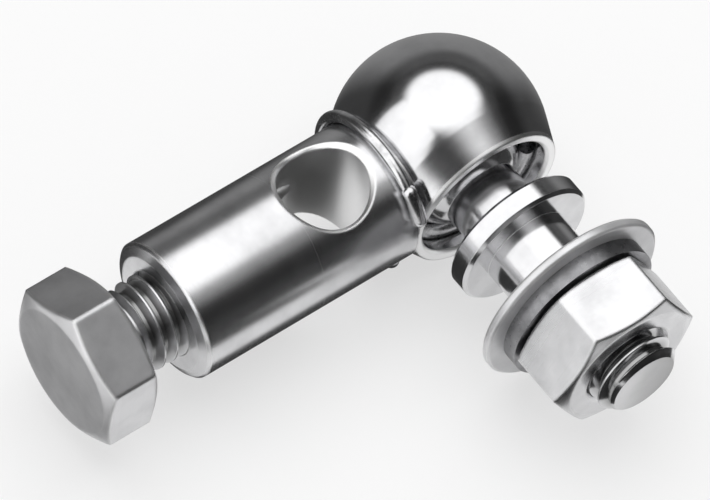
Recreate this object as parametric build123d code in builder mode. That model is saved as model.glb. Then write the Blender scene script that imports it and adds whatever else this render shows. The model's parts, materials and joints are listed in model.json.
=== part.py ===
from build123d import *
from math import acos, atan2, cos, degrees, hypot, radians, sin, sqrt
import os

# Angle ball joint, lying on its side. Lengths are in millimetres.
# Origin: the centre of the ball. The socket's shank runs along -X and the
# ball stud along -Y, so the two axes meet at the origin. +Z is up.

# ---- driving dimensions -------------------------------------------------
# ball and its seat
ball_diameter = 13.0
ball_play = 0.05                 # radial play of the ball in its seat
swing_angle = 18.0               # the stud tilts this far to every side
swing_clearance = 0.35           # left between the stud's neck and the snap ring at full tilt

# socket head, a sphere with a coned lip round the mouth
head_wall = 2.95                 # steel between the seat and the head's sphere
lip_wall = 0.95                  # steel round the mouth
head_setback = 0.5               # head centre behind the ball centre, away from the mouth
mouth_distance = 6.1             # ball centre to the mouth face
mouth_chamfer = 0.25

# socket shank with the cross hole and the clamp screw's bore
shank_diameter = 13.0
shank_length = 30.0              # ball centre to the free end
shank_end_chamfer = 0.6
cross_hole_diameter = 8.0
cross_hole_chamfer = 0.45
cross_hole_distance = 13.4       # ball centre to the cross hole's axis
clamp_thread_diameter = 8.0
clamp_countersink = 0.5
thread_play = 0.05               # radial play between screw or stud and its thread

# snap ring that holds the ball in the socket
snap_wire_diameter = 1.4
snap_ring_distance = 3.95        # ball centre to the ring's plane, towards the mouth
snap_ring_gap_angle = 30.0
snap_play = 0.05

# wire clip round the neck between head and shank, open towards the stud
clip_wire_diameter = 1.1
clip_bead_diameter = 1.45        # thickened ends of the wire
clip_bead_angle = 20.0
clip_opening_angle = 88.0
clip_turn = 14.0                 # the opening's middle lies this far below the stud's side
clip_play = 0.03                 # between the wire and the shank
clip_head_gap = 0.06             # between the wire and the head's sphere, where they are closest

# ball stud
stud_neck_fillet = 1.2
collar_diameter = 13.1
collar_distance = 9.7            # ball centre to the collar's back face
collar_thickness = 2.15
collar_chamfer = 0.3
stud_diameter = 8.0
stud_thread_length = 16.5        # collar's front face to the stud's end
stud_end_chamfer = 0.85

# washers and nut on the stud
lever_space = 5.6                # free length between collar and flat washer
flat_washer_diameter = 18.0
flat_washer_thickness = 0.9
flat_washer_edge_break = 0.2
washer_play = 0.2                # radial play of both washers on the stud
spring_washer_thickness = 1.5
spring_washer_inset = 0.2        # the nut's corners stand out past the spring washer by this
spring_washer_slit = 0.9
spring_washer_slit_lean = 20.0   # lean of the slit from the washer's axis
nut_across_flats = 13.0
nut_height = 6.2
nut_turn_at_rest = 31.0          # a corner's angle from +Z towards -X
nut_face_diameter = 12.4         # round face left by the corner chamfer
nut_countersink = 0.4

# hexagon clamp screw in the shank
screw_length = 16.0              # under the head
screw_gap = 4.95                 # shank end to the head's underside, as it stands
screw_neck_diameter = 6.4
screw_neck_length = 1.35
screw_tip_chamfer = 0.8
screw_head_across_flats = 13.0
screw_head_height = 5.3
screw_head_face_diameter = 12.0  # round face left by the corner chamfer
screw_underside_diameter = 12.6
hexagon_chamfer_angle = 21.0     # of nut and screw head, from the flat face

# ---- dependent sizes ----------------------------------------------------
ball_radius = ball_diameter / 2
seat_radius = ball_radius + ball_play
head_radius = seat_radius + head_wall
lip_radius = seat_radius + lip_wall
shank_radius = shank_diameter / 2
stud_radius = stud_diameter / 2
collar_front = collar_distance + collar_thickness
stud_end = collar_front + stud_thread_length
washer_back = collar_front + lever_space
washer_front = washer_back + flat_washer_thickness
nut_back = washer_front + spring_washer_thickness
nut_front = nut_back + nut_height
screw_head_back = shank_length + screw_gap
screw_tip = screw_head_back - screw_length

# looking along the stud from the ball, and along the shank from the ball
stud_plane = Plane.XZ
shank_plane = Plane(origin=(0, 0, 0), x_dir=(0, 0, 1), z_dir=(-1, 0, 0))
# the cross hole's seam lies on the side where the clamp screw's bore opens
cross_hole_plane = Plane(
    origin=(-cross_hole_distance, 0, -shank_radius), x_dir=(-1, 0, 0), z_dir=(0, 0, 1)
)


# ---- socket -------------------------------------------------------------
# The lip's cone is the tangent from the rim of the mouth to the head's sphere.
lip_reach = mouth_distance + head_setback
lip_from_centre = hypot(lip_radius, lip_reach)
tangent_angle = acos(head_radius / lip_from_centre) - atan2(lip_reach, lip_radius)
cone_start = (head_radius * cos(tangent_angle), head_setback + head_radius * sin(tangent_angle))

snap_wire_radius = snap_wire_diameter / 2
snap_wire_reach = ball_radius + snap_wire_radius + snap_play
snap_ring_radius = sqrt(snap_wire_reach**2 - snap_ring_distance**2)
snap_groove_radius = snap_ring_radius + snap_wire_radius + snap_play
snap_groove_width = snap_wire_diameter + 2 * snap_play

with BuildPart() as socket:
    with BuildSketch(Plane.XY):
        with BuildLine():
            head_arc = CenterArc(
                (0, head_setback),
                head_radius,
                degrees(tangent_angle),
                90 - degrees(tangent_angle),
            )
            Polyline(
                cone_start,
                (lip_radius, -mouth_distance),
                (0, -mouth_distance),
                head_arc @ 1,
            )
        make_face()
    revolve(axis=Axis.Y)
    # the round rod of the shank, from the ball's centre to its free end
    with BuildSketch(shank_plane):
        Circle(shank_radius)
    extrude(amount=shank_length)
    shank_end_edge = socket.edges().filter_by(GeomType.CIRCLE).sort_by(Axis.X)[0]
    chamfer(shank_end_edge, shank_end_chamfer)

    # the mouth face is turned flat where the shank would stand out of it
    with BuildSketch(stud_plane.offset(mouth_distance)):
        Circle(lip_radius)
    extrude(amount=shank_radius, mode=Mode.SUBTRACT)
    # seat of the ball: a round bore that ends in a hemisphere
    with BuildSketch(Plane.XY):
        with BuildLine():
            seat_arc = CenterArc((0, 0), seat_radius, 0, 90)
            Polyline(
                seat_arc @ 0,
                (seat_radius, -mouth_distance + mouth_chamfer),
                (seat_radius + mouth_chamfer, -mouth_distance),
                (0, -mouth_distance),
                seat_arc @ 1,
            )
        make_face()
    revolve(axis=Axis.Y, mode=Mode.SUBTRACT)
    # groove for the snap ring
    with BuildSketch(stud_plane.offset(snap_ring_distance)):
        Circle(snap_groove_radius)
    extrude(amount=snap_groove_width / 2, both=True, mode=Mode.SUBTRACT)

    # threaded bore for the clamp screw, from the free end into the cross hole
    with BuildSketch(shank_plane.offset(cross_hole_distance)):
        Circle(clamp_thread_diameter / 2 + thread_play)
    extrude(amount=shank_length - cross_hole_distance, mode=Mode.SUBTRACT)
    bore_edge = (
        socket.edges()
        .filter_by(GeomType.CIRCLE)
        .filter_by(Plane.YZ)
        .group_by(Axis.X)[0]
        .sort_by(SortBy.RADIUS)[0]
    )
    chamfer(bore_edge, clamp_countersink)

    # cross hole, its rim broken all round on both sides of the shank
    with BuildSketch(cross_hole_plane):
        Circle(cross_hole_diameter / 2)
    extrude(amount=shank_diameter, mode=Mode.SUBTRACT)
    rim_reach = cross_hole_diameter / 2 + cross_hole_chamfer
    rim_edges = (
        socket.edges()
        .filter_by_position(Axis.X, -cross_hole_distance - rim_reach, -cross_hole_distance + rim_reach)
        .filter_by(lambda edge: abs(edge.center().Z) > clamp_thread_diameter / 2 + thread_play)
    )
    chamfer(rim_edges, cross_hole_chamfer)
socket.part.label = "socket"

# ---- wire clip on the neck ----------------------------------------------
clip_radius = shank_radius + clip_play + clip_wire_diameter / 2
clip_from_head_centre = head_radius + clip_wire_diameter / 2 + clip_head_gap
clip_distance = sqrt(clip_from_head_centre**2 - (clip_radius - head_setback)**2)
bead_radius = shank_radius + clip_play + clip_bead_diameter / 2
clip_arc = 360 - clip_opening_angle
# the wire starts at this angle from -Y, turning about the shank's axis
clip_start = clip_opening_angle / 2 - clip_turn


def neck_plane(angle):
    """Plane through the shank's axis, turned by this angle from -Y towards +Z."""
    return Plane(
        origin=(-clip_distance, 0, 0),
        x_dir=(0, -cos(radians(angle)), sin(radians(angle))),
        z_dir=(0, sin(radians(angle)), cos(radians(angle))),
    )


with BuildPart() as neck_clip:
    with BuildSketch(neck_plane(clip_start)):
        with Locations((clip_radius, 0)):
            Circle(clip_wire_diameter / 2)
    revolve(axis=-Axis.X, revolution_arc=clip_arc)
    for bead_start in (clip_start, clip_start + clip_arc - clip_bead_angle):
        with BuildSketch(neck_plane(bead_start)):
            with Locations((bead_radius, 0)):
                Circle(clip_bead_diameter / 2)
        revolve(axis=-Axis.X, revolution_arc=clip_bead_angle)
        for end_angle in (bead_start, bead_start + clip_bead_angle):
            with Locations(neck_plane(end_angle).location * Location((bead_radius, 0, 0))):
                Sphere(clip_bead_diameter / 2)
neck_clip.part.label = "neck_clip"

# ---- snap ring ----------------------------------------------------------
with BuildPart() as snap_ring:
    with BuildSketch(Plane.XY):
        with Locations((snap_ring_radius, -snap_ring_distance)):
            Circle(snap_wire_radius)
    revolve(axis=Axis.Y, revolution_arc=360 - snap_ring_gap_angle)
snap_ring.part.label = "snap_ring"

# ---- ball stud ----------------------------------------------------------
# the neck leaves the snap ring's wire free when the stud is tilted as far as it goes
tilt = radians(swing_angle)
wire_from_axis = snap_ring_radius * cos(tilt) - snap_ring_distance * sin(tilt)
stud_neck_radius = wire_from_axis - snap_wire_radius - swing_clearance
neck_start = sqrt(ball_radius**2 - stud_neck_radius**2)
neck_angle = degrees(atan2(neck_start, stud_neck_radius))

with BuildPart() as ball_stud:
    with BuildSketch(Plane.XY):
        with BuildLine():
            ball_arc = CenterArc((0, 0), ball_radius, 90, -90 - neck_angle)
            Polyline(
                ball_arc @ 1,
                (stud_neck_radius, -collar_distance),
                (collar_diameter / 2, -collar_distance),
                (collar_diameter / 2, -collar_front),
                (stud_radius, -collar_front),
                (stud_radius, -stud_end + stud_end_chamfer),
                (stud_radius - stud_end_chamfer, -stud_end),
                (0, -stud_end),
                ball_arc @ 0,
            )
        make_face()
    revolve(axis=Axis.Y)
    stud_circles = ball_stud.edges().filter_by(GeomType.CIRCLE)
    collar_edges = stud_circles.filter_by(lambda edge: edge.radius > stud_neck_radius + stud_neck_fillet)
    collar_root = stud_circles.filter_by_position(Axis.Y, -collar_distance, -collar_distance)
    chamfer(collar_edges, collar_chamfer)
    fillet(collar_root.sort_by(SortBy.RADIUS)[0], stud_neck_fillet)
ball_stud.part.label = "ball_stud"

# ---- washers ------------------------------------------------------------
washer_bore_radius = stud_radius + washer_play
nut_corner_radius = nut_across_flats / 2 / cos(radians(30))
spring_washer_radius = nut_corner_radius - spring_washer_inset

with BuildPart() as flat_washer:
    with BuildSketch(stud_plane.offset(washer_back)):
        Circle(flat_washer_diameter / 2)
        Circle(washer_bore_radius, mode=Mode.SUBTRACT)
    extrude(amount=flat_washer_thickness)
    washer_circles = flat_washer.edges().filter_by(GeomType.CIRCLE)
    chamfer(washer_circles.group_by(SortBy.RADIUS)[-1], flat_washer_edge_break)
flat_washer.part.label = "flat_washer"

slit_length = 2 * spring_washer_thickness + spring_washer_slit
slit_plane = Plane(
    origin=(0, -(washer_front + nut_back) / 2, -spring_washer_radius),
    x_dir=(1, 0, 0),
    z_dir=(0, 0, 1),
)
with BuildPart() as spring_washer:
    with BuildSketch(stud_plane.offset(washer_front)):
        Circle(spring_washer_radius)
        Circle(washer_bore_radius, mode=Mode.SUBTRACT)
    extrude(amount=spring_washer_thickness)
    # the slit that parts the ring, below the stud, leans like a thread's flank
    with BuildSketch(slit_plane):
        Rectangle(spring_washer_slit, slit_length, rotation=spring_washer_slit_lean)
    extrude(amount=spring_washer_radius, mode=Mode.SUBTRACT)
spring_washer.part.label = "spring_washer"

# ---- nut ----------------------------------------------------------------
chamfer_slope = sin(radians(hexagon_chamfer_angle)) / cos(radians(hexagon_chamfer_angle))
nut_chamfer_depth = (nut_corner_radius - nut_face_diameter / 2) * chamfer_slope

with BuildPart() as nut:
    with BuildSketch(stud_plane.offset(nut_back)):
        RegularPolygon(nut_across_flats / 2, 6, major_radius=False, rotation=90 + nut_turn_at_rest)
    extrude(amount=nut_height)
    # the corners are turned off by a cone at both faces
    with BuildSketch(Plane.XY):
        Polygon(
            (0, -nut_back),
            (nut_face_diameter / 2, -nut_back),
            (nut_corner_radius, -nut_back - nut_chamfer_depth),
            (nut_corner_radius, -nut_front + nut_chamfer_depth),
            (nut_face_diameter / 2, -nut_front),
            (0, -nut_front),
            align=None,
        )
    revolve(axis=Axis.Y, mode=Mode.INTERSECT)
    with BuildSketch(stud_plane.offset(nut_back)):
        Circle(stud_radius + thread_play)
    extrude(amount=nut_height, mode=Mode.SUBTRACT)
    nut_circles = nut.edges().filter_by(GeomType.CIRCLE)
    chamfer(nut_circles.group_by(SortBy.RADIUS)[0], nut_countersink)
nut.part.label = "nut"

# ---- clamp screw --------------------------------------------------------
head_corner_radius = screw_head_across_flats / 2 / cos(radians(30))
head_chamfer_depth = (head_corner_radius - screw_head_face_diameter / 2) * chamfer_slope
underside_depth = (head_corner_radius - screw_underside_diameter / 2) * chamfer_slope
screw_head_front = screw_head_back + screw_head_height
screw_radius = clamp_thread_diameter / 2
screw_neck_radius = screw_neck_diameter / 2
neck_end = screw_head_back - screw_neck_length

with BuildPart() as clamp_screw:
    with BuildSketch(shank_plane.offset(screw_head_back)):
        RegularPolygon(screw_head_across_flats / 2, 6, major_radius=False)
    extrude(amount=screw_head_height)
    with BuildSketch(Plane.XY):
        Polygon(
            (-screw_head_back, 0),
            (-screw_head_back, screw_underside_diameter / 2),
            (-screw_head_back - underside_depth, head_corner_radius),
            (-screw_head_front + head_chamfer_depth, head_corner_radius),
            (-screw_head_front, screw_head_face_diameter / 2),
            (-screw_head_front, 0),
            align=None,
        )
    revolve(axis=Axis.X, mode=Mode.INTERSECT)
    # threaded rod with a coned tip and a turned neck under the head
    with BuildSketch(Plane.XY):
        Polygon(
            (-screw_tip, 0),
            (-screw_tip, screw_radius - screw_tip_chamfer),
            (-screw_tip - screw_tip_chamfer, screw_radius),
            (-neck_end + screw_radius - screw_neck_radius, screw_radius),
            (-neck_end, screw_neck_radius),
            (-screw_head_back, screw_neck_radius),
            (-screw_head_back, 0),
            align=None,
        )
    revolve(axis=Axis.X)
clamp_screw.part.label = "clamp_screw"

# ---- write the parts ----------------------------------------------------
os.makedirs("parts", exist_ok=True)
export_step(socket.part, "parts/socket.step")
export_step(neck_clip.part, "parts/neck_clip.step")
export_step(snap_ring.part, "parts/snap_ring.step")
export_step(ball_stud.part, "parts/ball_stud.step")
export_step(flat_washer.part, "parts/flat_washer.step")
export_step(spring_washer.part, "parts/spring_washer.step")
export_step(nut.part, "parts/nut.step")
export_step(clamp_screw.part, "parts/clamp_screw.step")
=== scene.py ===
"""Finish, threads and stage of an angle ball joint, laid out as an add-on and run as a script."""

import json
import math

import bmesh
import bpy
from bpy.props import FloatProperty, FloatVectorProperty, IntProperty, PointerProperty
from bpy.types import Operator, Panel, PropertyGroup
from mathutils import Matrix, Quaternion, Vector


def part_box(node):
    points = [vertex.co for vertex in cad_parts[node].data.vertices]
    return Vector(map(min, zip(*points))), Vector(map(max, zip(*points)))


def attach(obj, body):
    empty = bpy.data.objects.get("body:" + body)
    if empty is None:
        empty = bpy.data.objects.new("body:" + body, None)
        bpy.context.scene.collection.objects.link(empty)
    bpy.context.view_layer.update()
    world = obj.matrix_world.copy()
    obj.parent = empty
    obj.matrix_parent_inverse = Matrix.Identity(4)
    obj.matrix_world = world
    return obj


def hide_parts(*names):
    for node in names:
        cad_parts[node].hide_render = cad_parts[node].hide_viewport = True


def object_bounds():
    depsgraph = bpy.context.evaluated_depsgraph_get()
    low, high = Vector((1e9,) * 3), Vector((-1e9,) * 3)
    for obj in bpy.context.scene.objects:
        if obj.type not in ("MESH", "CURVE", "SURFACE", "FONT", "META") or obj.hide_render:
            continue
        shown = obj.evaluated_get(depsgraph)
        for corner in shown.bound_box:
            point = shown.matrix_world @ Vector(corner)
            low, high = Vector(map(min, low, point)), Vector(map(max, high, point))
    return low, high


bl_info = {
    "name": "Angle ball joint",
    "version": (1, 0, 0),
    "blender": (4, 5, 0),
    "location": "3D View > Sidebar > Ball joint",
    "description": "Dresses the angle ball joint: plated finishes, cut threads, hexagons and the studio",
    "category": "Object",
}

MM = 0.001

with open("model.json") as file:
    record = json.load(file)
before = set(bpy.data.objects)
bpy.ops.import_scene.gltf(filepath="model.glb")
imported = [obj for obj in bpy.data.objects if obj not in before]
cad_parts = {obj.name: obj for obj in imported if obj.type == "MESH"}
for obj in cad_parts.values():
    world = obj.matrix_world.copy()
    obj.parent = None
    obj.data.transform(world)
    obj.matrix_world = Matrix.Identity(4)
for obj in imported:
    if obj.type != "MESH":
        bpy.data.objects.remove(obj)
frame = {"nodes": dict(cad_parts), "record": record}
NODES = frame["nodes"]
CAD_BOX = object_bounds()
MOUNTS = {mount["name"]: Vector(mount["pos_m"]) for mount in frame["record"]["mounts"]}

STUD_LOW, STUD_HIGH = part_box("ball_stud")
SCREW_LOW, SCREW_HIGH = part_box("clamp_screw")
NUT_LOW, NUT_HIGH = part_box("nut")
HOLE = MOUNTS["cross_hole"]
NECK = -7.5 * MM  # the head lies beyond it, the shank before it
RING_WIDTH = 0.25 * MM  # of the fine rings that turning leaves
GRAIN_SIZE = 0.9 * MM  # of the plating
SOFT_BOX_PLACE = (0.11, 0.165, 0.5)
HOOD_REACH = 0.9  # from the middle of the dark hood to its walls
HOOD_TOP = 0.55
CLOTH_DARK = 0.055


# ---- settings ------------------------------------------------------------
class FinishSettings(PropertyGroup):
    """Colours and roughness of the plated and the spring steel."""

    plating: FloatVectorProperty(
        name="Plating",
        description="Colour of the bright plating",
        default=(0.70, 0.70, 0.71),
        size=3,
        min=0.0,
        max=1.0,
        subtype="COLOR",
    )
    plating_dull: FloatVectorProperty(
        name="Dull plating",
        description="Colour of the plating where it is thin or handled",
        default=(0.56, 0.56, 0.57),
        size=3,
        min=0.0,
        max=1.0,
        subtype="COLOR",
    )
    spring_steel: FloatVectorProperty(
        name="Spring steel",
        description="Colour of the darker spring steel",
        default=(0.30, 0.30, 0.31),
        size=3,
        min=0.0,
        max=1.0,
        subtype="COLOR",
    )
    # painted shade: a darker colour in the bottom of the threads, where shade falls
    groove_painted_shade: FloatVectorProperty(
        name="Groove shade",
        description="Colour in the bottom of the threads, where oil and dust stay",
        default=(0.32, 0.32, 0.32),
        size=3,
        min=0.0,
        max=1.0,
        subtype="COLOR",
    )
    roughness: FloatProperty(
        name="Roughness",
        description="Roughness of the turned and plated surfaces",
        default=0.15,
        min=0.02,
        max=1.0,
        subtype="FACTOR",
    )
    shank_roughness: FloatProperty(
        name="Shank roughness",
        description="Roughness of the socket's drawn and turned shank",
        default=0.25,
        min=0.02,
        max=1.0,
        subtype="FACTOR",
    )
    # painted highlight: a paler plating colour laid along the edges, on the cross hole's wall and on the
    # mouth's rim
    painted_highlight: FloatVectorProperty(
        name="Painted highlight",
        description="Colour of the plating where edges are rubbed bright",
        default=(0.90, 0.90, 0.90),
        size=3,
        min=0.0,
        max=1.0,
        subtype="COLOR",
    )
    machined_roughness: FloatProperty(
        name="Machined roughness",
        description="Roughness of the drilled hole's wall and of the mouth's rim",
        default=0.32,
        min=0.02,
        max=1.0,
        subtype="FACTOR",
    )
    mouth_distance: FloatProperty(
        name="Mouth distance",
        description="Distance from the ball's centre to the rim of the mouth",
        default=6.1 * MM,
        min=0.0,
        unit="LENGTH",
    )
    # the wall within this radius gets a painted highlight as well as a duller, rougher finish
    hole_radius: FloatProperty(
        name="Hole radius",
        description="Radius of the drilled cross hole, whose wall is left pale and dull",
        default=4.0 * MM,
        min=0.0,
        unit="LENGTH",
    )
    # also the width of the painted highlight along each edge
    edge_width: FloatProperty(
        name="Edge width",
        description="Width over which an edge looks rounded and rubbed",
        default=0.28 * MM,
        min=0.0,
        unit="LENGTH",
    )


class ThreadSettings(PropertyGroup):
    """The metric coarse thread of stud, nut and clamp screw."""

    diameter: FloatProperty(
        name="Thread diameter",
        description="Outer diameter of the thread",
        default=8.0 * MM,
        unit="LENGTH",
    )
    pitch: FloatProperty(
        name="Pitch",
        description="Travel for one turn",
        default=1.25 * MM,
        unit="LENGTH",
    )
    rows: IntProperty(
        name="Rows per turn",
        description="Rows of faces that one turn of the thread is made of",
        default=16,
        min=8,
        max=32,
    )


class StudSettings(PropertyGroup):
    """Sizes of the ball stud that its box does not give."""

    collar_thickness: FloatProperty(
        name="Collar thickness",
        description="Thickness of the collar",
        default=2.15 * MM,
        unit="LENGTH",
    )
    collar_chamfer: FloatProperty(
        name="Collar chamfer",
        description="Chamfer on both rims of the collar",
        default=0.3 * MM,
        unit="LENGTH",
    )
    neck_radius: FloatProperty(
        name="Neck radius",
        description="Radius of the neck between ball and collar",
        default=3.51 * MM,
        unit="LENGTH",
    )
    neck_fillet: FloatProperty(
        name="Neck fillet",
        description="Fillet from the neck to the collar",
        default=1.2 * MM,
        unit="LENGTH",
    )
    end_chamfer: FloatProperty(
        name="End chamfer",
        description="Chamfer on the stud's end",
        default=0.85 * MM,
        unit="LENGTH",
    )


class HexagonSettings(PropertyGroup):
    """Hexagons of the nut and of the clamp screw's head."""

    across_flats: FloatProperty(
        name="Across flats",
        description="Width over two opposite flats",
        default=13.0 * MM,
        unit="LENGTH",
    )
    corner_edge: FloatProperty(
        name="Corner edge",
        description="Rounding of the hexagon's corners",
        default=0.25 * MM,
        unit="LENGTH",
    )
    rim_edge: FloatProperty(
        name="Rim edge",
        description="Rounding between the flats and the turned-off corners",
        default=0.12 * MM,
        unit="LENGTH",
    )
    nut_face_diameter: FloatProperty(
        name="Nut face",
        description="Round face that the corner chamfer leaves on the nut",
        default=12.4 * MM,
        unit="LENGTH",
    )
    nut_countersink: FloatProperty(
        name="Nut countersink",
        description="Chamfer at both ends of the nut's bore",
        default=0.4 * MM,
        unit="LENGTH",
    )
    nut_turn: FloatProperty(
        name="Nut turn",
        description="Angle of a corner of the nut from straight up",
        default=math.radians(31.0),
        subtype="ANGLE",
    )
    chamfer_angle: FloatProperty(
        name="Chamfer angle",
        description="Angle between the flat face and the turned-off corners",
        default=math.radians(21.0),
        subtype="ANGLE",
    )
    head_height: FloatProperty(
        name="Head height",
        description="Height of the clamp screw's head",
        default=5.3 * MM,
        unit="LENGTH",
    )
    head_face_diameter: FloatProperty(
        name="Head face",
        description="Round face that the corner chamfer leaves on the screw's head",
        default=12.0 * MM,
        unit="LENGTH",
    )
    head_underside_diameter: FloatProperty(
        name="Head underside",
        description="Round face under the screw's head",
        default=12.6 * MM,
        unit="LENGTH",
    )
    screw_neck_diameter: FloatProperty(
        name="Screw neck",
        description="Diameter of the turned neck under the head",
        default=6.4 * MM,
        unit="LENGTH",
    )
    screw_neck_length: FloatProperty(
        name="Screw neck length",
        description="Length of the turned neck under the head",
        default=1.35 * MM,
        unit="LENGTH",
    )
    screw_tip_chamfer: FloatProperty(
        name="Screw tip",
        description="Chamfer on the tip of the clamp screw",
        default=0.8 * MM,
        unit="LENGTH",
    )


class StageSettings(PropertyGroup):
    """Floor, light and camera."""

    floor: FloatVectorProperty(
        name="Floor",
        description="Colour of the floor",
        default=(0.94, 0.94, 0.94),
        size=3,
        min=0.0,
        max=1.0,
        subtype="COLOR",
    )
    floor_white: FloatProperty(
        name="Floor white",
        description="How far the floor's shadow fades into the white of the view",
        default=0.6,
        min=0.0,
        max=1.0,
        subtype="FACTOR",
    )
    soft_box_watts: FloatProperty(
        name="Soft box",
        description="Power of the large soft box overhead",
        default=2.5,
        min=0.0,
        subtype="POWER",
    )
    soft_box_radius: FloatProperty(
        name="Soft box radius",
        description="Radius of the round soft box",
        default=0.38,
        min=0.01,
        unit="LENGTH",
    )
    fill: FloatProperty(
        name="Fill",
        description="Strength of the even light from all round",
        default=0.42,
        min=0.0,
        max=1.0,
    )
    azimuth: FloatProperty(
        name="Azimuth",
        description="Direction of the camera round the joint, 0 is in front of it",
        default=math.radians(-45.0),
        subtype="ANGLE",
    )
    elevation: FloatProperty(
        name="Elevation",
        description="Height of the camera above the horizon",
        default=math.radians(57.5),
        subtype="ANGLE",
    )
    roll: FloatProperty(
        name="Roll",
        description="Turn of the camera about its own line of sight",
        default=math.radians(9.6),
        subtype="ANGLE",
    )
    distance: FloatProperty(
        name="Distance",
        description="Distance of the camera from the ball",
        default=0.83,
        unit="LENGTH",
    )
    field_width: FloatProperty(
        name="Field width",
        description="Width that the camera sees at the ball",
        default=60.7 * MM,
        unit="LENGTH",
    )
    ball_right: FloatProperty(
        name="Ball to the right",
        description="How far right of the middle of the view the ball lies",
        default=7.46 * MM,
        unit="LENGTH",
    )
    ball_up: FloatProperty(
        name="Ball up",
        description="How far above the middle of the view the ball lies",
        default=8.74 * MM,
        unit="LENGTH",
    )


class BallJointSettings(PropertyGroup):
    """All settings of the joint."""

    finish: PointerProperty(type=FinishSettings)
    thread: PointerProperty(type=ThreadSettings)
    stud: PointerProperty(type=StudSettings)
    hexagon: PointerProperty(type=HexagonSettings)
    stage: PointerProperty(type=StageSettings)


# ---- material helpers ----------------------------------------------------
def new_steel(name, colour, roughness, metallic=1.0):
    """A metal material with its shader, and the node tree to add detail to."""
    material = bpy.data.materials.new(name)
    material.use_nodes = True
    tree = material.node_tree
    shader = tree.nodes["Principled BSDF"]
    shader.inputs["Base Color"].default_value = (*colour, 1.0)
    shader.inputs["Metallic"].default_value = metallic
    shader.inputs["Roughness"].default_value = roughness
    return material, tree, shader


def feed(tree, socket, value):
    """Link an output to this socket, or set the socket to a plain value."""
    if isinstance(value, bpy.types.NodeSocket):
        tree.links.new(value, socket)
    else:
        socket.default_value = value


def add_node(tree, kind, **values):
    """A node of this kind: its inputs are fed by name, and other names are its properties."""
    node = tree.nodes.new(kind)
    for name, value in values.items():
        if name in node.inputs:
            feed(tree, node.inputs[name], value)
        else:
            setattr(node, name, value)
    return node


def maths(tree, operation, first, second, clamp=False):
    """The result of one step of arithmetic."""
    node = add_node(tree, "ShaderNodeMath", operation=operation, use_clamp=clamp)
    feed(tree, node.inputs[0], first)
    feed(tree, node.inputs[1], second)
    return node.outputs["Value"]


def vector_maths(tree, operation, output, first, second=None):
    """The Vector or Value output of one step of vector arithmetic."""
    node = add_node(tree, "ShaderNodeVectorMath", operation=operation)
    feed(tree, node.inputs[0], first)
    if second is not None:
        feed(tree, node.inputs[1], second)
    return node.outputs[output]


def ranged(tree, value, start, stop, low, high, smooth=False):
    """Low where the value is at start, high where it is at stop, and in between on the way."""
    way = "SMOOTHSTEP" if smooth else "LINEAR"
    node = add_node(tree, "ShaderNodeMapRange", interpolation_type=way, Value=value)
    node.inputs["From Min"].default_value = start
    node.inputs["From Max"].default_value = stop
    node.inputs["To Min"].default_value = low
    node.inputs["To Max"].default_value = high
    return node.outputs["Result"]


def mixed(tree, kind, share, first, second):
    """Blend two colours (RGBA) or two numbers (FLOAT) by a share."""
    return add_node(tree, "ShaderNodeMix", data_type=kind, Factor=share, A=first, B=second).outputs["Result"]


def mix_shaders(tree, share, first, second, out):
    """Show the second shader by this share over the first."""
    mix = add_node(tree, "ShaderNodeMixShader", Fac=share)
    tree.links.new(first, mix.inputs[1])
    tree.links.new(second, mix.inputs[2])
    tree.links.new(mix.outputs["Shader"], out.inputs["Surface"])


def noise(tree, where, size, detail, roughness=0.5):
    """Soft noise with features of this size."""
    return add_node(
        tree, "ShaderNodeTexNoise", Vector=where, Scale=1.0 / size, Detail=detail, Roughness=roughness
    ).outputs["Fac"]


def part_coordinates(tree):
    """Coordinates in metres that stay with the piece when it moves."""
    return add_node(tree, "ShaderNodeTexCoord").outputs["Object"]


def patchy_colour(tree, shader, where, bright, dull, size):
    """Blend two tones of metal in soft patches of this size."""
    tones = add_node(tree, "ShaderNodeValToRGB", Fac=noise(tree, where, size, 4.0, 0.55))
    tones.color_ramp.elements[0].position = 0.30
    tones.color_ramp.elements[0].color = (*dull, 1.0)
    tones.color_ramp.elements[1].position = 0.62
    tones.color_ramp.elements[1].color = (*bright, 1.0)
    tree.links.new(tones.outputs["Color"], shader.inputs["Base Color"])


def turned_lines(tree, where, axis):
    """Height of the fine rings that a lathe leaves round this axis."""
    stretch = {"X": (1.0, 0.0, 0.0), "Y": (0.0, 1.0, 0.0)}[axis]
    along = vector_maths(tree, "MULTIPLY", "Vector", where, stretch)
    return noise(tree, along, RING_WIDTH, 3.0, 0.7)


def uneven_roughness(tree, shader, height, roughness):
    """Let the shine follow this height round its usual value."""
    spread = ranged(tree, height, 0.25, 0.75, 0.8 * roughness, 1.3 * roughness)
    tree.links.new(spread, shader.inputs["Roughness"])


def overlay(tree, shader, share, colour, roughness=None):
    """Blend another colour over the steel by this share, and another roughness if one is given; painted
    highlights and painted shade are laid on this way.
    """
    tone = shader.inputs["Base Color"].links[0].from_socket
    tree.links.new(mixed(tree, "RGBA", share, tone, (*colour, 1.0)), shader.inputs["Base Color"])
    if roughness is not None:
        shine = shader.inputs["Roughness"].links[0].from_socket
        tree.links.new(mixed(tree, "FLOAT", share, shine, roughness), shader.inputs["Roughness"])


def round_edges_and_paint_highlight(tree, shader, finish, width):
    """Round the edges in the shading, and paint a highlight along them, with a rougher finish there."""
    rounded = add_node(tree, "ShaderNodeBevel", samples=6, Radius=width).outputs["Normal"]
    surface = add_node(tree, "ShaderNodeNewGeometry").outputs["Normal"]
    turn = vector_maths(tree, "DOT_PRODUCT", "Value", rounded, surface)
    # painted highlight: paler colour where the rounded normal turns away from the surface's own
    overlay(tree, shader, ranged(tree, turn, 0.995, 0.88, 0.0, 1.0), finish.painted_highlight, 0.45)
    return rounded


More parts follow.
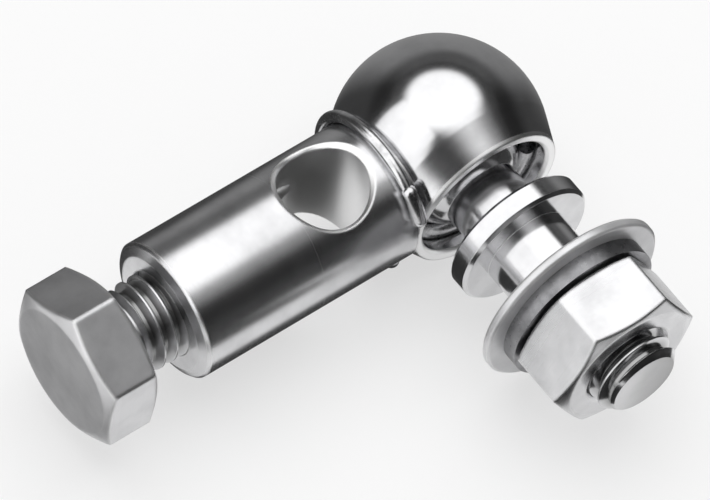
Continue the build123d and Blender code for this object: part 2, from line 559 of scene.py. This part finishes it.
def relief(tree, shader, height, depth, before=None):
    """Raise the surface by this height, on top of another relief if one is given."""
    bump = add_node(tree, "ShaderNodeBump", Strength=1.0, Distance=depth, Height=height)
    if before is not None:
        tree.links.new(before, bump.inputs["Normal"])
    tree.links.new(bump.outputs["Normal"], shader.inputs["Normal"])
    return bump.outputs["Normal"]


def plated_steel(name, finish, axis, roughness, ring_depth=0.15e-6, edge_share=1.0, metallic=1.0):
    """Bright plating over steel that was turned round this axis."""
    material, tree, shader = new_steel(name, finish.plating, roughness, metallic)
    where = part_coordinates(tree)
    patchy_colour(tree, shader, where, finish.plating, finish.plating_dull, 4 * MM)
    rings = turned_lines(tree, where, axis)
    uneven_roughness(tree, shader, rings, roughness)
    edges = round_edges_and_paint_highlight(tree, shader, finish, edge_share * finish.edge_width)
    cut = relief(tree, shader, rings, ring_depth, edges)
    relief(tree, shader, noise(tree, where, GRAIN_SIZE, 5.0), 1.2e-6, cut)
    return material


def machined_and_highlit_places(tree, where, along_mouth, on_head, finish):
    """1 on the wall of the cross hole and at the rim of the mouth, 0 elsewhere."""
    flat = vector_maths(tree, "MULTIPLY", "Vector", where, (1.0, 1.0, 0.0))
    from_axis = vector_maths(tree, "DISTANCE", "Value", flat, (HOLE.x, HOLE.y, 0.0))
    hole_edge = finish.hole_radius + 0.4 * MM
    drilled = ranged(tree, from_axis, hole_edge + 0.1 * MM, hole_edge, 0.0, 1.0)
    rim_edge = -finish.mouth_distance + 0.3 * MM
    rim = ranged(tree, along_mouth, rim_edge + 0.1 * MM, rim_edge, 0.0, 1.0)
    return maths(tree, "MAXIMUM", drilled, maths(tree, "MULTIPLY", rim, on_head))


def socket_steel(finish):
    """Plated steel of the socket: the head was turned round the mouth's axis, the shank round its own."""
    material, tree, shader = new_steel("socket_plated_steel", finish.plating, finish.roughness)
    where = part_coordinates(tree)
    patchy_colour(tree, shader, where, finish.plating, finish.plating_dull, 5 * MM)
    place = add_node(tree, "ShaderNodeSeparateXYZ", Vector=where)
    on_head = maths(tree, "GREATER_THAN", place.outputs["X"], NECK)
    rings = mixed(tree, "FLOAT", on_head, turned_lines(tree, where, "X"), turned_lines(tree, where, "Y"))
    shine = mixed(tree, "FLOAT", on_head, finish.shank_roughness, finish.roughness)
    shine = maths(tree, "MULTIPLY", shine, ranged(tree, rings, 0.25, 0.75, 0.88, 1.15))
    tree.links.new(shine, shader.inputs["Roughness"])
    machined_and_highlit = machined_and_highlit_places(tree, where, place.outputs["Y"], on_head, finish)
    # painted highlight on the cross hole's wall and the mouth's rim, with a rougher machined finish there
    overlay(tree, shader, machined_and_highlit, finish.painted_highlight, finish.machined_roughness)
    edges = round_edges_and_paint_highlight(tree, shader, finish, finish.edge_width)
    cut = relief(tree, shader, rings, 0.15e-6, edges)
    relief(tree, shader, noise(tree, where, GRAIN_SIZE, 5.0), 1.0e-6, cut)
    return material


def threaded_steel(name, finish, axis, roughness):
    """Plated steel with painted shade in the thread grooves, read from the mesh's groove attribute."""
    material = plated_steel(name, finish, axis, roughness, 0.3e-6, 0.25)
    tree = material.node_tree
    groove = add_node(tree, "ShaderNodeAttribute", attribute_name="groove").outputs["Fac"]
    # painted shade: darker colour towards the bottom of the grooves
    overlay(tree, tree.nodes["Principled BSDF"], groove, finish.groove_painted_shade)
    return material


def drawn_wire(name, colour, roughness):
    """Spring wire with fine drawing marks and small dark specks."""
    material, tree, shader = new_steel(name, colour, roughness)
    where = part_coordinates(tree)
    patchy_colour(tree, shader, where, tuple(colour), tuple(0.6 * c for c in colour), 1.5 * MM)
    marks = noise(tree, where, 0.3 * MM, 6.0)
    uneven_roughness(tree, shader, marks, roughness)
    relief(tree, shader, marks, 2e-6)
    return material


def wear(piece, material):
    """Give a piece this material and no other."""
    piece.data.materials.clear()
    piece.data.materials.append(material)


# ---- mesh helpers --------------------------------------------------------
def even_angles(count):
    """Angles of a full turn in even steps."""
    return [2 * math.pi * i / count for i in range(count)]


def hexagon_angles(apothem, edge, turn):
    """Angles that catch a hexagon's flats and its rounded corners."""
    flat_half = math.atan((apothem - edge) * math.tan(math.radians(30)) / apothem)
    flat_steps = [flat_half * i / 8 for i in range(-8, 9)]
    corner_half = math.radians(30) - flat_half
    corner_steps = [flat_half + corner_half * i / 3 for i in range(1, 6)]
    angles = []
    for side in range(6):
        middle = turn + math.radians(30 + 60 * side)
        angles += [middle + step for step in flat_steps + corner_steps]
    return angles


def hexagon_radius(angle, apothem, edge, turn):
    """Distance from the axis to a hexagon with rounded corners, at this angle from a corner."""
    sixth = math.radians(60)
    from_corner = (angle - turn + sixth / 2) % sixth - sixth / 2
    from_flat = sixth / 2 - abs(from_corner)
    flat_half = math.atan((apothem - edge) * math.tan(sixth / 2) / apothem)
    if from_flat <= flat_half:
        return apothem / math.cos(from_flat)
    centre = (apothem - edge) / math.cos(sixth / 2)
    return centre * math.cos(from_corner) + math.sqrt(edge**2 - (centre * math.sin(from_corner)) ** 2)


def groove_depth(phase):
    """Share of the thread's depth at this phase of a turn: 0 on the crest, 1 in the root."""
    off_crest = abs(phase % 1.0 - 0.5) * 2
    return min(max((off_crest - 0.125) / 0.625, 0.0), 1.0)


def turned_point(axis, along, radius, angle):
    """A point at this angle round an axis that points away from the ball, measured from straight up."""
    if axis == "X":
        return Vector((-along, -radius * math.sin(angle), radius * math.cos(angle)))
    return Vector((-radius * math.sin(angle), -along, radius * math.cos(angle)))


class TurnedMesh:
    """Collects rows of points round an axis and joins neighbouring rows with faces."""

    def __init__(self, axis, angles):
        self.axis = axis
        self.angles = angles
        self.mesh = bmesh.new()
        self.groove = self.mesh.verts.layers.float.new("groove")

    def row(self, profile):
        """One row: profile gives (along, radius, groove) for an angle."""
        made = []
        for angle in self.angles:
            along, radius, depth = profile(angle)
            vertex = self.mesh.verts.new(turned_point(self.axis, along, radius, angle))
            vertex[self.groove] = depth
            made.append(vertex)
        return made

    def ring(self, along, radius):
        """A plain round row."""
        return self.row(lambda angle: (along, radius, 0.0))

    def join(self, rows, shift=0):
        """Faces between rows. With a shift, the end of each row meets the row that many further on."""
        count = len(self.angles)
        for low, high in zip(range(len(rows) - 1), range(1, len(rows))):
            for i in range(count):
                if i + 1 < count:
                    corners = (rows[low][i], rows[low][i + 1], rows[high][i + 1], rows[high][i])
                elif high + shift < len(rows):
                    corners = (rows[low][i], rows[low + shift][0], rows[high + shift][0], rows[high][i])
                else:
                    continue
                self.mesh.faces.new(corners)

    def cap(self, row):
        """A flat face that closes a row."""
        self.mesh.faces.new(row)

    def outline(self, points):
        """Round rows through (along, radius) points, joined in order."""
        rows = [self.ring(along, radius) for along, radius in points]
        self.join(rows)
        return rows

    def thread(self, start, stop, envelope, thread):
        """Cut a helical thread between two places under an envelope of the radius."""
        turns = math.ceil((stop - start) / thread.pitch) + 2
        depth = 0.6134 * thread.pitch
        major = thread.diameter / 2

        def helix_row(number):
            def profile(angle):
                turn = number / thread.rows + angle / (2 * math.pi) - 1
                along = min(max(start + turn * thread.pitch, start), stop)
                cut = groove_depth((along - start) / thread.pitch - angle / (2 * math.pi))
                return along, min(major - depth * cut, envelope(along)), cut

            return profile

        rows = [self.row(helix_row(number)) for number in range(turns * thread.rows)]
        self.join(rows, thread.rows)
        return rows

    def finish(self, name, body, material, slot_name, sharp=35.0):
        """Weld the rows and link the piece to its body."""
        bmesh.ops.remove_doubles(self.mesh, verts=self.mesh.verts, dist=1e-7)
        bmesh.ops.dissolve_degenerate(self.mesh, edges=self.mesh.edges, dist=1e-7)
        bmesh.ops.recalc_face_normals(self.mesh, faces=self.mesh.faces)
        for face in self.mesh.faces:
            face.smooth = True
        for edge in self.mesh.edges:
            edge.smooth = edge.calc_face_angle(0.0) < math.radians(sharp)
        data = bpy.data.meshes.new(name)
        self.mesh.to_mesh(data)
        self.mesh.free()
        piece = bpy.data.objects.new(name, data)
        bpy.context.scene.collection.objects.link(piece)
        weighted = piece.modifiers.new("even_shading", "WEIGHTED_NORMAL")
        weighted.keep_sharp = True
        wear(piece, material)
        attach(piece, body)
        return piece


def chamfered(radius, end, chamfer):
    """Envelope of a rod with a chamfer at its far end."""
    return lambda along: min(radius, radius - chamfer + max(end - along, 0.0))


def arc(centre, radius, start, stop, steps):
    """(along, radius) points on an arc round a centre, angles in degrees from the axis."""
    points = []
    for i in range(steps + 1):
        angle = math.radians(start + (stop - start) * i / steps)
        points.append((centre[0] + radius * math.cos(angle), centre[1] + radius * math.sin(angle)))
    return points


# ---- operators -----------------------------------------------------------
class BALLJOINT_OT_socket(Operator):
    """Plate the socket."""

    bl_idname = "balljoint.socket"
    bl_label = "Finish the socket"

    def execute(self, context):
        wear(NODES["socket"], socket_steel(context.scene.ball_joint.finish))
        return {"FINISHED"}


class BALLJOINT_OT_wires(Operator):
    """Finish the neck clip and the snap ring."""

    bl_idname = "balljoint.wires"
    bl_label = "Finish clip and snap ring"

    def execute(self, context):
        finish = context.scene.ball_joint.finish
        wear(NODES["neck_clip"], drawn_wire("clip_wire", finish.plating, 0.22))
        wear(NODES["snap_ring"], drawn_wire("snap_ring_wire", finish.plating_dull, 0.28))
        return {"FINISHED"}


class BALLJOINT_OT_ball_stud(Operator):
    """Turn the ball stud with its thread."""

    bl_idname = "balljoint.ball_stud"
    bl_label = "Make the ball stud"

    def execute(self, context):
        settings = context.scene.ball_joint
        stud = settings.stud
        ball_radius = STUD_HIGH.y
        collar_radius = STUD_HIGH.x
        collar_front = -MOUNTS["lever_seat"].y
        collar_back = collar_front - stud.collar_thickness
        stud_end = -STUD_LOW.y
        stud_radius = settings.thread.diameter / 2
        thread_start = -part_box("flat_washer")[1].y
        neck_from = math.degrees(math.asin(stud.neck_radius / ball_radius))

        made = TurnedMesh("Y", even_angles(128))
        outline = arc((0.0, 0.0), ball_radius, 179.0, neck_from, 48)
        fillet_centre = (collar_back - stud.neck_fillet, stud.neck_radius + stud.neck_fillet)
        outline += arc(fillet_centre, stud.neck_fillet, -90.0, 0.0, 8)
        rim = collar_radius - stud.collar_chamfer
        outline += [
            (collar_back, rim),
            (collar_back + stud.collar_chamfer, collar_radius),
            (collar_front - stud.collar_chamfer, collar_radius),
            (collar_front, rim),
            (collar_front, stud_radius),
            (thread_start, stud_radius),
        ]
        rows = made.outline(outline)
        made.cap(rows[0])
        envelope = chamfered(stud_radius, stud_end, stud.end_chamfer)
        turns = made.thread(thread_start, stud_end, envelope, settings.thread)
        made.cap(turns[-1])
        material = threaded_steel("stud_plated_steel", settings.finish, "Y", settings.finish.roughness)
        piece = made.finish("ball_stud_turned", "stud", material, "stud_steel")
        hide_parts("ball_stud")
        return {"FINISHED"}


class BALLJOINT_OT_washers(Operator):
    """Finish the flat washer and the spring washer."""

    bl_idname = "balljoint.washers"
    bl_label = "Finish the washers"

    def execute(self, context):
        finish = context.scene.ball_joint.finish
        washer_steel = plated_steel("washer_plated_steel", finish, "Y", 0.32, 0.3e-6, metallic=0.6)
        wear(NODES["flat_washer"], washer_steel)
        wear(NODES["spring_washer"], drawn_wire("spring_washer_steel", finish.spring_steel, 0.3))
        return {"FINISHED"}


class BALLJOINT_OT_nut(Operator):
    """Make the nut with turned-off corners and countersunk bore."""

    bl_idname = "balljoint.nut"
    bl_label = "Make the nut"

    def execute(self, context):
        settings = context.scene.ball_joint
        hexagon = settings.hexagon
        apothem = hexagon.across_flats / 2
        edge = hexagon.corner_edge
        turn = hexagon.nut_turn
        back, front = -NUT_HIGH.y, -NUT_LOW.y
        face_radius = hexagon.nut_face_diameter / 2
        slope = math.tan(hexagon.chamfer_angle)

        made = TurnedMesh("Y", hexagon_angles(apothem, edge, turn))

        def corner_drop(angle):
            radius = hexagon_radius(angle, apothem, edge, turn)
            return radius, max(radius - face_radius, 0.0) * slope

        def back_rim(angle):
            radius, drop = corner_drop(angle)
            return back + drop + hexagon.rim_edge, radius, 0.0

        def front_rim(angle):
            radius, drop = corner_drop(angle)
            return front - drop - hexagon.rim_edge, radius, 0.0

        def back_slope(angle):
            radius, drop = corner_drop(angle)
            return back + drop, radius - hexagon.rim_edge, 0.0

        def front_slope(angle):
            radius, drop = corner_drop(angle)
            return front - drop, radius - hexagon.rim_edge, 0.0

        bore = settings.thread.diameter / 2
        countersink = hexagon.nut_countersink
        rows = [
            made.ring(back + countersink, bore),
            made.ring(back, bore + countersink),
            made.ring(back, face_radius - hexagon.rim_edge),
            made.row(back_slope),
            made.row(back_rim),
            made.row(front_rim),
            made.row(front_slope),
            made.ring(front, face_radius - hexagon.rim_edge),
            made.ring(front, bore + countersink),
            made.ring(front - countersink, bore),
        ]
        made.join(rows)
        made.join([rows[-1], rows[0]])
        material = plated_steel("nut_plated_steel", settings.finish, "Y", 0.24, edge_share=1.5)
        piece = made.finish("nut_cut", "nut", material, "fastener_steel", 20.0)
        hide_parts("nut")
        return {"FINISHED"}


class BALLJOINT_OT_clamp_screw(Operator):
    """Make the clamp screw with its thread and its hexagon head."""

    bl_idname = "balljoint.clamp_screw"
    bl_label = "Make the clamp screw"

    def execute(self, context):
        settings = context.scene.ball_joint
        hexagon = settings.hexagon
        apothem = hexagon.across_flats / 2
        edge = hexagon.corner_edge
        front = -SCREW_LOW.x
        back = front - hexagon.head_height
        tip = -SCREW_HIGH.x
        face_radius = hexagon.head_face_diameter / 2
        underside_radius = hexagon.head_underside_diameter / 2
        neck_radius = hexagon.screw_neck_diameter / 2
        thread_radius = settings.thread.diameter / 2
        neck_start = back - hexagon.screw_neck_length
        slope = math.tan(hexagon.chamfer_angle)

        head = TurnedMesh("X", hexagon_angles(apothem, edge, 0.0))

        def side(angle, face, at, way, rim):
            radius = hexagon_radius(angle, apothem, edge, 0.0)
            drop = max(radius - face, 0.0) * slope
            if rim:
                return at + way * (drop + hexagon.rim_edge), radius, 0.0
            return at + way * drop, radius - hexagon.rim_edge, 0.0

        rows = [
            head.ring(back, neck_radius),
            head.ring(back, underside_radius - hexagon.rim_edge),
            head.row(lambda angle: side(angle, underside_radius, back, 1, False)),
            head.row(lambda angle: side(angle, underside_radius, back, 1, True)),
            head.row(lambda angle: side(angle, face_radius, front, -1, True)),
            head.row(lambda angle: side(angle, face_radius, front, -1, False)),
            head.ring(front, face_radius),
        ]
        head.join(rows)
        head.cap(rows[-1])
        material = plated_steel("screw_head_plated_steel", settings.finish, "X", 0.33, edge_share=2.0)
        head_piece = head.finish("clamp_screw_head", "clamp_screw", material, "fastener_steel", 20.0)

        rod = TurnedMesh("X", even_angles(128))
        tip_radius = thread_radius - hexagon.screw_tip_chamfer

        def envelope(along):
            at_tip = tip_radius + (along - tip)
            at_neck = neck_radius + (neck_start - along)
            return min(thread_radius, at_tip, at_neck)

        turns = rod.thread(tip, neck_start, envelope, settings.thread)
        rod.cap(turns[0])
        neck = rod.outline([(neck_start, neck_radius), (back, neck_radius)])
        rod.cap(neck[-1])
        material = threaded_steel("screw_plated_steel", settings.finish, "X", 0.3)
        rod_piece = rod.finish("clamp_screw_rod", "clamp_screw", material, "fastener_steel")
        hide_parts("clamp_screw")
        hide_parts("clamp_screw")
        return {"FINISHED"}


class BALLJOINT_OT_stage(Operator):
    """Set the floor, the soft light and the camera."""

    bl_idname = "balljoint.stage"
    bl_label = "Set the stage"

    def execute(self, context):
        settings = context.scene.ball_joint.stage
        lay_floor(settings)
        hang_soft_box(settings)
        stand_cards()
        light_surroundings(settings)
        place_camera(settings)
        context.scene.view_settings.view_transform = "Standard"
        return {"FINISHED"}


# ---- stage ---------------------------------------------------------------
def stage_mesh(name, corners, faces, material):
    """A flat stage piece from corners and faces."""
    data = bpy.data.meshes.new(name)
    data.from_pydata(corners, [], faces)
    piece = bpy.data.objects.new(name, data)
    bpy.context.scene.collection.objects.link(piece)
    data.materials.append(material)
    return piece


def seen_rays(tree):
    """1 for rays of the view, of reflections and of transmission, 0 for light that falls on things."""
    path = add_node(tree, "ShaderNodeLightPath").outputs
    seen = maths(tree, "ADD", path["Is Camera Ray"], path["Is Glossy Ray"], clamp=True)
    return maths(tree, "ADD", seen, path["Is Transmission Ray"], clamp=True)


def lay_floor(settings):
    """A wide pale floor with a faint unevenness, level with the joint's lowest point."""
    material = bpy.data.materials.new("pale_floor")
    material.use_nodes = True
    tree = material.node_tree
    shader = tree.nodes["Principled BSDF"]
    shader.inputs["Roughness"].default_value = 0.9
    shader.inputs["Specular IOR Level"].default_value = 0.1
    duller = tuple(0.985 * c for c in settings.floor)
    patchy_colour(tree, shader, part_coordinates(tree), settings.floor, duller, 0.4)
    white = add_node(tree, "ShaderNodeEmission", Strength=1.0).outputs["Emission"]
    share = maths(tree, "MULTIPLY", seen_rays(tree), settings.floor_white)
    mix_shaders(tree, share, shader.outputs["BSDF"], white, tree.nodes["Material Output"])
    half = 4.0
    level = CAD_BOX[0].z
    corners = [(-half, -half, level), (half, -half, level), (half, half, level), (-half, half, level)]
    stage_mesh("floor", corners, [(0, 1, 2, 3)], material)


def card_light(name):
    """An emission material for a reflector card, with its tree and the input for its strength."""
    material = bpy.data.materials.new(name)
    material.use_nodes = True
    tree = material.node_tree
    tree.nodes.clear()
    light = add_node(tree, "ShaderNodeEmission")
    add_node(tree, "ShaderNodeOutputMaterial", Surface=light.outputs["Emission"])
    return material, tree, light.inputs["Strength"]


def glow(name, strength):
    """A plain even glow for a reflector card."""
    material, tree, shown = card_light(name)
    shown.default_value = strength
    return material


def hood_cloth():
    """Dark cloth that is paler towards the right and the back of the studio, and low down."""
    material, tree, shown = card_light("hood_cloth")
    where = part_coordinates(tree)
    level = vector_maths(tree, "MULTIPLY", "Vector", where, (1.0, 1.0, 0.0))
    heading = vector_maths(tree, "NORMALIZE", "Vector", level)
    back_right = (0.643, 0.766, 0.0)
    towards = vector_maths(tree, "DOT_PRODUCT", "Value", heading, back_right)
    spread = ranged(tree, towards, 0.55, 0.95, CLOTH_DARK, 0.28, smooth=True)
    place = add_node(tree, "ShaderNodeSeparateXYZ", Vector=where)
    height = ranged(tree, place.outputs["Z"], 0.05, 0.35, 1.0, 0.4, smooth=True)
    tree.links.new(maths(tree, "MULTIPLY", spread, height), shown)
    return material


def card(name, corners, material):
    """A studio card that only the metal's reflections see."""
    piece = stage_mesh(name, corners, [tuple(range(len(corners)))], material)
    piece.visible_camera = False
    piece.visible_diffuse = False
    piece.visible_transmission = False
    piece.visible_shadow = False
    return piece


def ground_card(name, outline, material):
    """A card just above the floor, with this outline seen from above."""
    level = CAD_BOX[0].z + 0.2 * MM
    card(name, [(x, y, level) for x, y in outline], material)


def hang_soft_box(settings):
    """One large round soft box overhead, and the face that the metal sees of it."""
    radius = settings.soft_box_radius
    lamp = bpy.data.lights.new("soft_box", "AREA")
    lamp.shape = "DISK"
    lamp.size = 2 * radius
    lamp.energy = settings.soft_box_watts
    box = bpy.data.objects.new("soft_box", lamp)
    bpy.context.scene.collection.objects.link(box)
    box.location = SOFT_BOX_PLACE
    box.visible_camera = False
    box.visible_glossy = False

    material, tree, shown = card_light("soft_box_face")
    where = part_coordinates(tree)
    from_middle = vector_maths(tree, "LENGTH", "Value", where)
    face_light = ranged(tree, from_middle, 0.80 * radius, 1.22 * radius, 1.6, CLOTH_DARK, smooth=True)
    # the cloth in front of the soft box catches some of its light
    from_front = vector_maths(tree, "DISTANCE", "Value", where, (0.08, -0.38, 0.0))
    caught = ranged(tree, from_front, 0.05, 0.42, 0.42, CLOTH_DARK, smooth=True)
    tree.links.new(maths(tree, "MAXIMUM", face_light, caught), shown)
    reach = 1.9 * radius
    corners = [(reach * math.cos(angle), reach * math.sin(angle), 0.0) for angle in even_angles(64)]
    face = card("soft_box_face", corners, material)
    face.location = SOFT_BOX_PLACE


def stand_cards():
    """Dark cloth and pale cards round the joint, as a studio uses them for bright metal, and cards of
    painted shadow on the ground under the shank and round the screw's head.
    """
    cloth = hood_cloth()
    dark = glow("dark_card", 0.04)
    grey = glow("painted_shadow_card", 0.36)
    pale = glow("pale_card", 1.5)
    level = CAD_BOX[0].z
    far, top = HOOD_REACH, HOOD_TOP
    for name, start, stop in (
        ("front", (-far, -far), (far, -far)),
        ("right", (far, -far), (far, far)),
        ("back", (far, far), (-far, far)),
        ("left", (-far, far), (-far, -far)),
    ):
        corners = [(*start, level), (*stop, level), (*stop, top), (*start, top)]
        card("hood_" + name, corners, cloth)
    card("hood_top", [(-far, -far, top), (far, -far, top), (far, far, top), (-far, far, top)], cloth)

    # the ground is dark except for a pale strip in front of the joint that widens at the stud
    strip_back, strip_front = -10.8 * MM, -26.5 * MM
    stud_strip_back, front_row = -6.5 * MM, -60 * MM
    shank_end, shank_middle, head_start = -30 * MM, -20 * MM, -8 * MM
    behind, behind_hole = 8 * MM, 1.5 * MM
    screw_end = SCREW_LOW.x - 1 * MM
    ground_card(
        "dark_ground_behind",
        [(shank_end, behind), (far, behind), (far, far), (-far, far), (-48 * MM, 22 * MM)],
        cloth,
    )
    # painted shadow of the shank on the ground, seen only in reflections; it stays open where the cross hole
    # looks down
    for name, start, stop, back in (
        ("painted_shadow_under_shank", shank_end, shank_middle, behind),
        ("painted_shadow_under_hole", shank_middle, head_start, behind_hole),
    ):
        ground_card(name, [(start, strip_back), (stop, strip_back), (stop, back), (start, back)], dark)
    ground_card(
        "dark_ground_under_head",
        [
            (head_start, strip_back),
            (-6 * MM, strip_back),
            (-4 * MM, stud_strip_back),
            (far, stud_strip_back),
            (far, behind),
            (head_start, behind),
        ],
        cloth,
    )
    ground_card(
        "dark_ground_in_front",
        [
            (screw_end, -far),
            (far, -far),
            (far, front_row),
            (-3 * MM, front_row),
            (-3 * MM, -34 * MM),
            (head_start, strip_front),
            (screw_end, strip_front),
        ],
        dark,
    )
    ground_card(
        "dark_ground_beside",
        [
            (18 * MM, stud_strip_back),
            (18 * MM, -30 * MM),
            (34 * MM, front_row),
            (far, front_row),
            (far, stud_strip_back),
        ],
        cloth,
    )
    past_screw, aside = screw_end - 12 * MM, 30 * MM
    # painted shadow on the ground round the screw's head, seen only in reflections
    ground_card(
        "painted_shadow_at_screw_head",
        [(past_screw, -aside), (screw_end, -aside), (screw_end, aside), (past_screw, aside)],
        grey,
    )
    # the panel leans in over the screw's side
    card(
        "pale_side_panel",
        [(-0.64, 0.37, level), (-0.64, -0.28, level), (-0.2, -0.13, 0.49), (-0.2, 0.4, 0.49)],
        pale,
    )


def light_surroundings(settings):
    """White surroundings in the view and in the metal, and the even fill for everything else."""
    world = bpy.data.worlds.new("studio")
    bpy.context.scene.world = world
    world.use_nodes = True
    tree = world.node_tree
    tree.nodes.clear()
    colour = (1.0, 1.0, 1.0, 1.0)
    fill = add_node(tree, "ShaderNodeBackground", Color=colour, Strength=settings.fill)
    white = add_node(tree, "ShaderNodeBackground", Color=colour, Strength=1.0)
    out = add_node(tree, "ShaderNodeOutputWorld")
    mix_shaders(tree, seen_rays(tree), fill.outputs["Background"], white.outputs["Background"], out)


def place_camera(settings):
    """A long lens that looks down on the joint from the shank's and the stud's side."""
    azimuth, elevation = settings.azimuth, settings.elevation
    towards = Vector(
        (
            math.sin(azimuth) * math.cos(elevation),
            -math.cos(azimuth) * math.cos(elevation),
            math.sin(elevation),
        )
    )
    data = bpy.data.cameras.new("camera")
    data.sensor_width = 36.0
    data.lens = data.sensor_width * settings.distance / settings.field_width
    data.clip_start, data.clip_end = 0.05, 20.0
    camera = bpy.data.objects.new("camera", data)
    bpy.context.scene.collection.objects.link(camera)
    turn = (-towards).to_track_quat("-Z", "Y") @ Quaternion((0.0, 0.0, 1.0), settings.roll)
    right = turn @ Vector((1.0, 0.0, 0.0))
    up = turn @ Vector((0.0, 1.0, 0.0))
    camera.rotation_mode = "QUATERNION"
    camera.rotation_quaternion = turn
    middle = -right * settings.ball_right - up * settings.ball_up
    camera.location = middle + towards * settings.distance
    bpy.context.scene.camera = camera


# ---- panel and registration ----------------------------------------------
OPERATORS = (
    BALLJOINT_OT_socket,
    BALLJOINT_OT_wires,
    BALLJOINT_OT_ball_stud,
    BALLJOINT_OT_washers,
    BALLJOINT_OT_nut,
    BALLJOINT_OT_clamp_screw,
    BALLJOINT_OT_stage,
)


class BALLJOINT_PT_sidebar(Panel):
    """Steps that dress the joint, in order."""

    bl_idname = "BALLJOINT_PT_sidebar"
    bl_label = "Angle ball joint"
    bl_space_type = "VIEW_3D"
    bl_region_type = "UI"
    bl_category = "Ball joint"

    def draw(self, context):
        for operator in OPERATORS:
            self.layout.operator(operator.bl_idname)


CLASSES = (
    FinishSettings,
    ThreadSettings,
    StudSettings,
    HexagonSettings,
    StageSettings,
    BallJointSettings,
    *OPERATORS,
    BALLJOINT_PT_sidebar,
)


def register():
    """Make the settings, the steps and the panel known to Blender."""
    for cls in CLASSES:
        bpy.utils.register_class(cls)
    bpy.types.Scene.ball_joint = PointerProperty(type=BallJointSettings)


def unregister():
    """Take them away again."""
    del bpy.types.Scene.ball_joint
    for cls in reversed(CLASSES):
        bpy.utils.unregister_class(cls)


def main():
    """Dress the joint and set the stage."""
    register()
    bpy.ops.balljoint.socket()
    bpy.ops.balljoint.wires()
    bpy.ops.balljoint.ball_stud()
    bpy.ops.balljoint.washers()
    bpy.ops.balljoint.nut()
    bpy.ops.balljoint.clamp_screw()
    bpy.ops.balljoint.stage()


if __name__ == "__main__":
    main()
